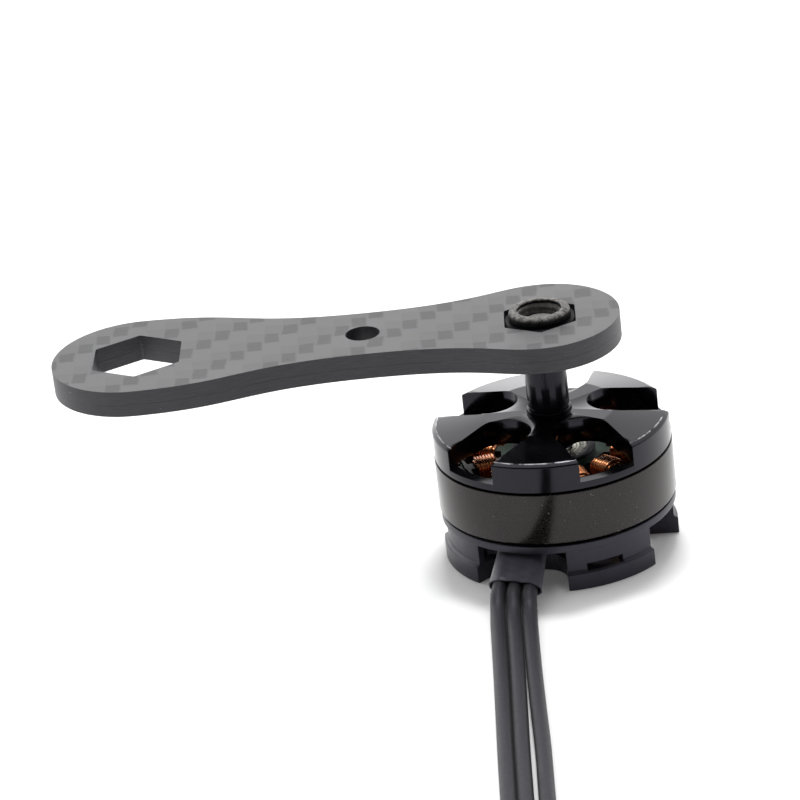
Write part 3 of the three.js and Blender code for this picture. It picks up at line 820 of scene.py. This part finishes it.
def make_tip(name, start, ahead):
    """A tinned end: twisted strands under a thin coat of solder, with a rounded nose."""
    sides, steps = 6 * TIP_STRANDS, 30
    up = Vector((0, 0, 1))
    across = ahead.cross(up).normalized()
    bm = bmesh.new()
    rings = []
    for i in range(steps + 1):
        t = i / steps
        nose = math.sqrt(max(0.0, 1 - max(0.0, (t - 0.9) / 0.1) ** 2)) * 0.85 + 0.15
        ring = []
        for j in range(sides):
            a = 2 * math.pi * j / sides
            lobe = abs(math.cos(TIP_STRANDS / 2 * (a + 2.2 * t)))
            r = TIP_R * (0.90 + 0.10 * lobe) * nose
            place = start + ahead * (TIP_LENGTH * t) + across * (r * math.cos(a)) + up * (r * math.sin(a))
            ring.append(bm.verts.new(place))
        rings.append(ring)
    close_tube(bm, rings)
    return new_object(name, bm)


def make_sleeve():
    """The heat-shrink tube: a flat oval, wider at its open mouth, shrunk in slightly between the wires."""
    along, across = sleeve_axes()
    up = along.cross(across)
    length = (SLEEVE_OUTER - SLEEVE_INNER).length
    sides, steps = 96, 30
    bm = bmesh.new()

    def ring_at(distance, inset):
        """A section across the tube, drawn inwards by inset."""
        share = distance / length
        half_w = SLEEVE_HALF_W + 0.32 * share**1.5 - inset
        half_h = SLEEVE_HALF_H + 0.06 * share - inset
        ring = []
        for j in range(sides):
            c = math.cos(2 * math.pi * j / sides)
            s = math.sin(2 * math.pi * j / sides)
            x = half_w * math.copysign(abs(c) ** 0.62, c)
            between = 0.5 - 0.5 * math.cos(2 * math.pi * x / WIRE_PITCH)
            y = half_h * math.copysign(abs(s) ** 0.85, s) * (1 - 0.09 * share * between)
            wave = 0.025 * math.sin(distance * 2.1 + x * 1.3) + 0.015 * math.sin(distance * 5.3 - x * 2.4)
            slant = 0.16 * x * share
            place = SLEEVE_INNER + along * (distance + slant) + across * x + up * (y * (1 + wave))
            ring.append(bm.verts.new(place))
        return ring

    back = [(0.0, 0.9), (0.02, 0.35), (0.25, 0.0)]
    middle = [(length * i / steps, 0.0) for i in range(2, steps)]
    mouth = [(length - 0.04, 0.0), (length, 0.06), (length, 0.16), (length - 0.05, 0.2), (length - 1.8, 0.22)]
    close_tube(bm, [ring_at(distance, inset) for distance, inset in back + middle + mouth])
    return new_object("heat_shrink_sleeve", bm)


def make_wires():
    silicone, tin = silicone_finish(), tin_finish()
    sleeve = finished(make_sleeve(), "stator", [shrink_finish()], ["wire_sleeve"], sharp=50)
    along, _ = sleeve_axes()
    for side, name in zip((-1, 0, 1), ("left", "middle", "right")):
        seen = smooth_path(wire_route(side))
        tip = make_tip(f"tinned_tip_{name}", seen[-1], (seen[-1] - seen[-2]).normalized())
        finished(tip, "stator", [tin], [f"wire_tip_{name}"], sharp=60)
        path = [seen[0] - along * WIRE_INSIDE, *seen]
        wire = round_curve(f"silicone_wire_{name}", path, WIRE_R)
        finished(wire, "stator", [silicone], [f"phase_wire_{name}"])


# ---------------------------------------------------------------- bell, stud and shaft
def make_ring():
    low, high = z_range("flux_ring")
    corners = [(RING_IN_R, low, 0.1), (BELL_R, low, 0.22), (BELL_R, high, 0.06), (RING_IN_R, high, 0.05)]
    ring = lathe("flux_ring_steel", filleted(corners), RING_FACETS)
    finished(ring, "rotor", [ring_finish()], ["flux_ring"])


def slot_cutter(index):
    """A U-shaped slot, open at the cap's outside."""
    inner_end = arc(SLOT_HALF, math.pi / 2, 1.5 * math.pi, 97, SLOT_CENTRE_R)
    outline = [(BEYOND, SLOT_HALF), *inner_end, (BEYOND, -SLOT_HALF)]
    cutter = prism(f"slot_{index}", outline, SLOT_FLOOR, BEYOND)
    turn = polar(FIRST_SLOT + index * 360 / SLOT_COUNT)
    cutter.data.transform(Matrix.Rotation(turn, 4, "Z"))
    return cutter


def make_cap(black):
    low, top = z_range("bell_cap")
    corners = [
        (RING_IN_R, low, 0.05), (CAP_R - 0.2, low, 0.04), (CAP_R, low + 0.2, 0.06),
        (CAP_R, CAP_RIM_TOP - 0.3, 0.25), (CAP_RIM_R, CAP_RIM_TOP, 0.2), (CAP_DISC_R, top, 2.0),
        (CAP_BORE_R, top, 0), (CAP_BORE_R, CAP_UNDER, 0.05), (CAP_BOSS_R, CAP_UNDER, 0.1),
        (CAP_BOSS_R, CAP_WEB_LOW, 0.1), (CAP_WEB_R, CAP_WEB_LOW - 0.05, 0.1), (RING_IN_R, CAP_UNDER, 0),
    ]
    cap = lathe("bell_cap_anodised", filleted(corners), CAP_FACETS)
    combine(cap, [slot_cutter(i) for i in range(SLOT_COUNT)])
    tidy(cap)
    chamfered(cap, 0.09, 35)
    finished(cap, "rotor", [black], ["bell_cap"], weighted=True)


def make_stud():
    low, high = z_range("prop_stud")
    corners = [
        (0, SHAFT_END, 0), (SHAFT_R, SHAFT_END, 0), (SHAFT_R, low, 0),
        (COLLAR_R, low, 0.05), (COLLAR_R, COLLAR_TOP, 0.06), (NECK_R, COLLAR_TOP + 0.05, 0),
        (NECK_R, COLLAR_TOP + 0.23, 0), (STUD_R, COLLAR_TOP + 0.37, 0.05), (STUD_R, STUD_SMOOTH_TOP, 0.05),
        (STUD_CORE_R, STUD_SMOOTH_TOP + 0.2, 0), (STUD_CORE_R, high, 0.25), (0, high, 0),
    ]
    stud = lathe("prop_stud_anodised", filleted(corners))
    black = stud_finish(high)
    finished(stud, "rotor", [black], ["prop_stud"])
    ridge = thread("prop_stud_thread", *STUD_THREAD, STUD_SMOOTH_TOP + 0.25, high - 0.35, STUD_CORE_R - 0.2)
    finished(ridge, "rotor", [black])


def make_shaft(steel):
    low, high = z_range("motor_shaft")
    r = SHAFT_R - SHAFT_SLIP
    corners = [
        (0, low, 0), (TAIL_R, low, 0.15), (TAIL_R, TAIL_TOP, 0),
        (r, TAIL_TOP, 0.05), (r, high, 0.1), (0, high, 0),
    ]
    shaft = lathe("motor_shaft_ground", filleted(corners), SHAFT_FACETS)
    finished(shaft, "rotor", [steel], ["motor_shaft"])


# ---------------------------------------------------------------- nut
def make_nut():
    low, top = z_range("lock_nut")
    black = oxide_finish(top)
    flat_r = NUT_FLATS / 2
    corner_r = NUT_FLATS / math.sqrt(3)
    hexagon = arc(corner_r, math.pi / 2, 2.5 * math.pi, 7)[:-1]
    nut = prism("lock_nut_steel", hexagon, low, NUT_HEX_TOP)
    turned = [
        (0, low - 0.1), (flat_r - 0.05, low - 0.1), (corner_r + 0.2, low + 0.35),
        (corner_r + 0.2, NUT_HEX_TOP - 0.45), (flat_r - 0.1, NUT_HEX_TOP + 0.1), (0, NUT_HEX_TOP + 0.1),
    ]
    combine(nut, [lathe("turned_corners", turned)], "INTERSECT")
    dome = [
        (0, low + 1, 0), (NUT_DOME_R, low + 1, 0), (NUT_DOME_R, top, 0.60), (NUT_MOUTH_R + 0.01, top, 0.25),
        (NUT_MOUTH_R + 0.01, top - 0.4, 0), (0, top - 0.4, 0),
    ]
    combine(nut, [lathe("dome", filleted(dome, 8))], "UNION")
    thread_r = NUT_THREAD[1]
    bore = [
        (0, low - OVERCUT), (thread_r, low - OVERCUT), (thread_r, INSERT_LOW), (INSERT_R, INSERT_LOW),
        (INSERT_R, INSERT_TOP), (NUT_MOUTH_R, INSERT_TOP), (NUT_MOUTH_R, top + OVERCUT), (0, top + OVERCUT),
    ]
    combine(nut, [lathe("bore", bore)])
    tidy(nut)
    chamfered(nut, 0.06)
    finished(nut, "nut", [black], ["lock_nut"], weighted=True)
    # half a pitch from the stud's thread at rest, so that the two interlock
    inner = thread("lock_nut_thread", *NUT_THREAD, low + 0.30, INSERT_LOW - 0.05, thread_r + 0.06)
    finished(inner, "nut", [black])
    insert = thread("nut_insert_nylon", *INSERT_THREAD, INSERT_LOW + 0.05, INSERT_TOP - 0.04, INSERT_R - 0.05)
    finished(insert, "insert", [nylon_finish()], ["nut_insert"])


# ---------------------------------------------------------------- spanner
def level_curve(start, end, start_reach, end_reach, count=24):
    """Points towards -X on a cubic curve that is level at both ends, without its last point."""
    (x0, y0), (x3, y3) = start, end
    x1 = x0 - start_reach
    x2 = x3 + end_reach
    points = []
    for i in range(count):
        t = i / count
        s = 1 - t
        x = s**3 * x0 + 3 * s * s * t * x1 + 3 * s * t * t * x2 + t**3 * x3
        y = (s**3 + 3 * s * s * t) * y0 + (3 * s * t * t + t**3) * y3
        points.append((x, y))
    return points


def hex_points(flats, x):
    """A hexagon with rounded corners, corners towards +Y and -Y."""
    reach = (flats - 2 * SOCKET_CORNER_R) / math.sqrt(3)
    points = []
    for i in range(6):
        a = math.pi / 2 + i * math.pi / 3
        centre = (x + reach * math.cos(a), reach * math.sin(a))
        points += arc(SOCKET_CORNER_R, a - math.pi / 6, a + math.pi / 6, 5, *centre)
    return points


def make_spanner():
    waist = (-WAIST_AT, WAIST)
    upper = level_curve((0, NOSE_SMALL), waist, *SMALL_REACH)
    upper += level_curve(waist, (-SPAN, NOSE_LARGE), *LARGE_REACH)
    lower = [(x, -y) for x, y in reversed(upper[1:])]
    small_nose = arc(NOSE_SMALL, -math.pi / 2, math.pi / 2, 49)[:-1]
    large_nose = arc(NOSE_LARGE, math.pi / 2, 1.5 * math.pi, 49, -SPAN)
    plate = prism("spanner_carbon", small_nose + upper + large_nose + lower, 0, SPANNER_THICK)
    holes = [
        ("small_socket", hex_points(SOCKET_SMALL, 0)),
        ("large_socket", hex_points(SOCKET_LARGE, -SPAN)),
        ("middle_hole", arc(HOLE_R, 0, 2 * math.pi, 65, -HOLE_AT)[:-1]),
    ]
    combine(plate, [prism(name, outline, -OVERCUT, SPANNER_THICK + OVERCUT) for name, outline in holes])
    chamfered(plate, 0.08)
    turned = Matrix.Rotation(TILT, 4, "X") @ Matrix.Rotation(TURN, 4, "Z")
    plate.data.transform(Matrix.Translation((0, 0, SPANNER_LOW)) @ turned)
    finished(plate, "wrench", [weave_finish(), ply_finish()], ["spanner"], weighted=True)
    for face in plate.data.polygons:
        lies_flat = abs(face.normal.z) > 0.6
        face.material_index = 0 if lies_flat else 1


# ---------------------------------------------------------------- base
def window_outline(from_angle, to_angle):
    """The space of a cooling window, out through the wall."""
    start, end = polar(from_angle), polar(to_angle)
    return arc(BEYOND, start, end, 24) + arc(WINDOW_IN_R, end, start, 24)


def notch_outline(from_angle, to_angle):
    """The space between two sectors, with rounded inner corners."""
    start, end = polar(from_angle), polar(to_angle)
    r = NOTCH_CORNER_R
    away = NOTCH_R + r
    inset = math.asin(r / away)
    first, last = start + inset, end - inset
    first_centre = (away * math.cos(first), away * math.sin(first))
    last_centre = (away * math.cos(last), away * math.sin(last))
    points = arc(BEYOND, start, end, 40)
    points += arc(r, end + math.pi / 2, last + math.pi, 12, *last_centre)
    points += arc(NOTCH_R, last, first, 40)[1:-1]
    points += arc(r, first + math.pi, start + 1.5 * math.pi, 12, *first_centre)
    return points


def screw_posts(profile):
    """One turned piece at each of the four screws."""
    posts = []
    for i in range(4):
        a = polar(FIRST_SCREW + 90 * i)
        away = SCREW_CIRCLES[i % 2]
        post = lathe(f"post_{i}", profile, POST_FACETS)
        post.data.transform(Matrix.Translation((away * math.cos(a), away * math.sin(a), 0)))
        posts.append(post)
    return posts


def make_base(satin):
    corners = [
        (SEAT_R, 0, 0.1), (BASE_R, 0, 0.12), (BASE_R, FOOT_TOP, 0.06), (BASE_WALL_R, FOOT_TOP + 0.2, 1.6),
        (BASE_WALL_R + 0.02, LIP_LOW - 0.05, 0.06), (BASE_R, LIP_LOW + 0.1, 0.06), (BASE_R, BASE_TOP, 0.12),
        (LIP_IN_R, BASE_TOP, 0.1), (LIP_IN_R, BASE_FLOOR, 0.2), (TUBE_R + 0.7, BASE_FLOOR, 0.2),
        (TUBE_R, BASE_FLOOR + 0.7, 0.2), (TUBE_R, TUBE_TOP, 0.1), (SEAT_R, TUBE_TOP, 0.1),
        (SEAT_R, SEAT_HIGH, 0), (SHOULDER_R, SEAT_HIGH, 0), (SHOULDER_R, SEAT_LOW, 0), (SEAT_R, SEAT_LOW, 0),
    ]
    boss = [
        (0, BOSS_LOW), (BOSS_R, BOSS_LOW), (BOSS_R, BOSS_TOP - 0.1), (BOSS_R - 0.1, BOSS_TOP), (0, BOSS_TOP),
    ]
    drill = [
        (0, -OVERCUT), (DRILL_MOUTH_R, -OVERCUT), (DRILL_MOUTH_R, 0), (DRILL_R, 0.25),
        (DRILL_R, BOSS_TOP - 0.2), (DRILL_MOUTH_R, BOSS_TOP + 0.05), (DRILL_MOUTH_R, BOSS_TOP + 0.8),
        (0, BOSS_TOP + 0.8),
    ]
    base = lathe("motor_base_milled", filleted(corners), BASE_FACETS)
    combine(base, screw_posts(boss), "UNION")
    cuts = screw_posts(drill)
    starts = [start for start, _ in SECTORS]
    following = [*starts[1:], starts[0] + 360]
    for i, (_, end) in enumerate(SECTORS):
        cuts.append(prism(f"notch_{i}", notch_outline(end, following[i]), -OVERCUT, LIP_LOW))
    start, end, low, high = WINDOW
    for turn in (0, 180):
        cuts.append(prism(f"window_{turn}", window_outline(start + turn, end + turn), low, high))
    combine(base, cuts)
    tidy(base)
    chamfered(base, 0.07)
    finished(base, "stator", [satin], ["motor_base"], weighted=True)


# ---------------------------------------------------------------- windings
def make_coil_mesh():
    """One winding round an arm that lies along +X: a double layer of round wire, wound out and back."""
    middle = sum(z_range("stator_core")) / 2
    path = []
    for layer in (0, 1):
        w = COIL_HALF_W + COIL_WIRE_R + layer * COIL_LAYER
        h = COIL_HALF_H + COIL_WIRE_R + layer * COIL_LAYER
        corner = 0.34 + layer * 0.3
        section = filleted([(w, -h, corner), (w, h, corner), (-w, h, corner), (-w, -h, corner)], 3)
        steps = (COIL_TURNS - layer) * len(section)
        start = COIL_FROM + COIL_WIRE_R * (1 + layer)
        length = COIL_TO - COIL_FROM - 2 * COIL_WIRE_R * (1 + layer)
        for k in range(steps):
            share = k / steps if layer == 0 else 1 - k / steps
            y, z = section[k % len(section)]
            path.append(Vector((start + share * length, y, z + middle)))
    curve = round_curve("winding_wire", path, COIL_WIRE_R, 2)
    graph = bpy.context.evaluated_depsgraph_get()
    mesh = bpy.data.meshes.new_from_object(curve.evaluated_get(graph))
    bpy.data.objects.remove(curve)
    return mesh


def make_windings():
    copper = copper_finish()
    mesh = make_coil_mesh()
    for i in range(ARMS):
        copy = mesh.copy()
        copy.transform(Matrix.Rotation(math.radians(FIRST_ARM) + 2 * math.pi * i / ARMS, 4, "Z"))
        coil = bpy.data.objects.new(f"winding_wire_{i + 1:02d}", copy)
        bpy.context.scene.collection.objects.link(coil)
        finished(coil, "stator", [copper], [f"winding_{i + 1:02d}"], sharp=70)


# ---------------------------------------------------------------- CAD nodes that stay
def paint(material, *names):
    """Gives CAD nodes that stay in the scene their material."""
    for name in names:
        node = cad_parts[name]
        node.data.materials.clear()
        node.data.materials.append(material)


def make_shields(race):
    """Thin steel shields between the races, on the two bearing faces that can be seen."""
    inner, outer, thick = 2.27, 3.25, 0.1
    for name, low in (("upper_bearing_shield", 12.02), ("lower_bearing_shield", 0.83)):
        profile = [(inner, low), (outer, low), (outer, low + thick), (inner, low + thick)]
        finished(lathe(name, profile), "stator", [race])


def paint_nodes(steel, race):
    paint(laminate_finish(), "stator_core")
    paint(insulator_finish(), "stator_insulator_upper", "stator_insulator_lower")
    paint(magnet_finish(), *[f"magnet_{i:02d}" for i in range(1, MAGNETS + 1)])
    for end in ("lower", "upper"):
        paint(race, f"{end}_bearing_outer_race", f"{end}_bearing_inner_race")
        paint(steel, f"{end}_bearing_balls")
    paint(steel, "shaft_shim", "shaft_circlip")


# ---------------------------------------------------------------- studio
def make_lamp():
    data = bpy.data.lights.new("top", "AREA")
    data.shape = "RECTANGLE"
    data.size, data.size_y = LAMP_SIZE
    data.energy = LAMP_POWER
    lamp = bpy.data.objects.new("top", data)
    bpy.context.scene.collection.objects.link(lamp)
    lamp.location = LAMP_PLACE
    lamp.rotation_mode = "QUATERNION"
    lamp.rotation_quaternion = (LAMP_AIM - LAMP_PLACE).to_track_quat("-Z", "Y")
    return lamp


def make_studio():
    corners = [(x * FLOOR_HALF, y * FLOOR_HALF, FLOOR_Z) for x, y in ((-1, -1), (1, -1), (1, 1), (-1, 1))]
    mesh = bpy.data.meshes.new("floor")
    mesh.from_pydata(corners, [], [(0, 1, 2, 3)])
    floor = bpy.data.objects.new("floor", mesh)
    bpy.context.scene.collection.objects.link(floor)
    white = bpy.data.materials.new("white_floor")
    white.use_nodes = True
    shader = white.node_tree.nodes["Principled BSDF"]
    shader.inputs["Base Color"].default_value = (0.93, 0.93, 0.93, 1)
    shader.inputs["Roughness"].default_value = 0.7
    shader.inputs["Specular IOR Level"].default_value = 0.2
    shader.inputs["Emission Color"].default_value = (1, 1, 1, 1)
    shader.inputs["Emission Strength"].default_value = FLOOR_GLOW
    mesh.materials.append(white)
    solid = [o for o in bpy.data.objects if o.type in ("MESH", "CURVE")]
    shade_only(make_lamp(), [o for o in solid if "spanner" not in o.name])
    make_world()


def shade_only(light, objects):
    """Only these objects cast a shadow of the light."""
    blockers = bpy.data.collections.new("shadow_casters")
    for made in objects:
        blockers.objects.link(made)
    light.light_linking.blocker_collection = blockers


def make_world():
    """A white tent, brightest low down at the back and on the left, and dark round the camera."""
    world = bpy.data.worlds.new("world")
    bpy.context.scene.world = world
    world.use_nodes = True
    tree = world.node_tree

    def spread(value, low, high, to_low, to_high):
        """Maps value from low..high to to_low..to_high, with soft ends."""
        node = tree.nodes.new("ShaderNodeMapRange")
        node.interpolation_type = "SMOOTHSTEP"
        for socket, setting in zip(node.inputs[1:5], (low, high, to_low, to_high)):
            socket.default_value = setting
        tree.links.new(value, node.inputs[0])
        return node.outputs[0]

    def combined(operation, a, b):
        node = tree.nodes.new("ShaderNodeMath")
        node.operation = operation
        tree.links.new(a, node.inputs[0])
        tree.links.new(b, node.inputs[1])
        return node.outputs[0]

    # x, y and z of the direction looked in, whose length is 1
    direction = tree.nodes.new("ShaderNodeTexCoord")
    axes = tree.nodes.new("ShaderNodeSeparateXYZ")
    tree.links.new(direction.outputs["Generated"], axes.inputs[0])
    x, y, z = axes.outputs
    low_glow = spread(z, 0.0, 0.5, HORIZON - MIDDLE, 0.0)
    overhead = spread(z, 0.6, 0.9, MIDDLE, OVERHEAD)
    from_back = combined("ADD", low_glow, overhead)
    leaning = combined("MULTIPLY", from_back, spread(x, -0.6, 0.6, LEFT_GAIN, RIGHT_GAIN))
    facing = combined("ADD", y, spread(z, 0.0, 1.0, 0.0, 0.42))
    shape = spread(facing, -0.15, 0.55, CAMERA_SIDE, 1.0)
    background = tree.nodes["Background"]
    tree.links.new(combined("MULTIPLY", leaning, shape), background.inputs["Strength"])
    background.inputs["Color"].default_value = (1, 1, 1, 1)
    bpy.context.scene.view_settings.view_transform = "Standard"


# ---------------------------------------------------------------- the scene
make_camera()
make_wires()
gloss_black, satin_black = anodised_finish(), satin_finish()
bright_steel, oiled_steel = steel_finish(), race_finish()
make_base(satin_black)
make_ring()
make_cap(gloss_black)
make_stud()
make_shaft(bright_steel)
make_nut()
make_spanner()
make_windings()
make_shields(oiled_steel)
paint_nodes(bright_steel, oiled_steel)
make_studio()
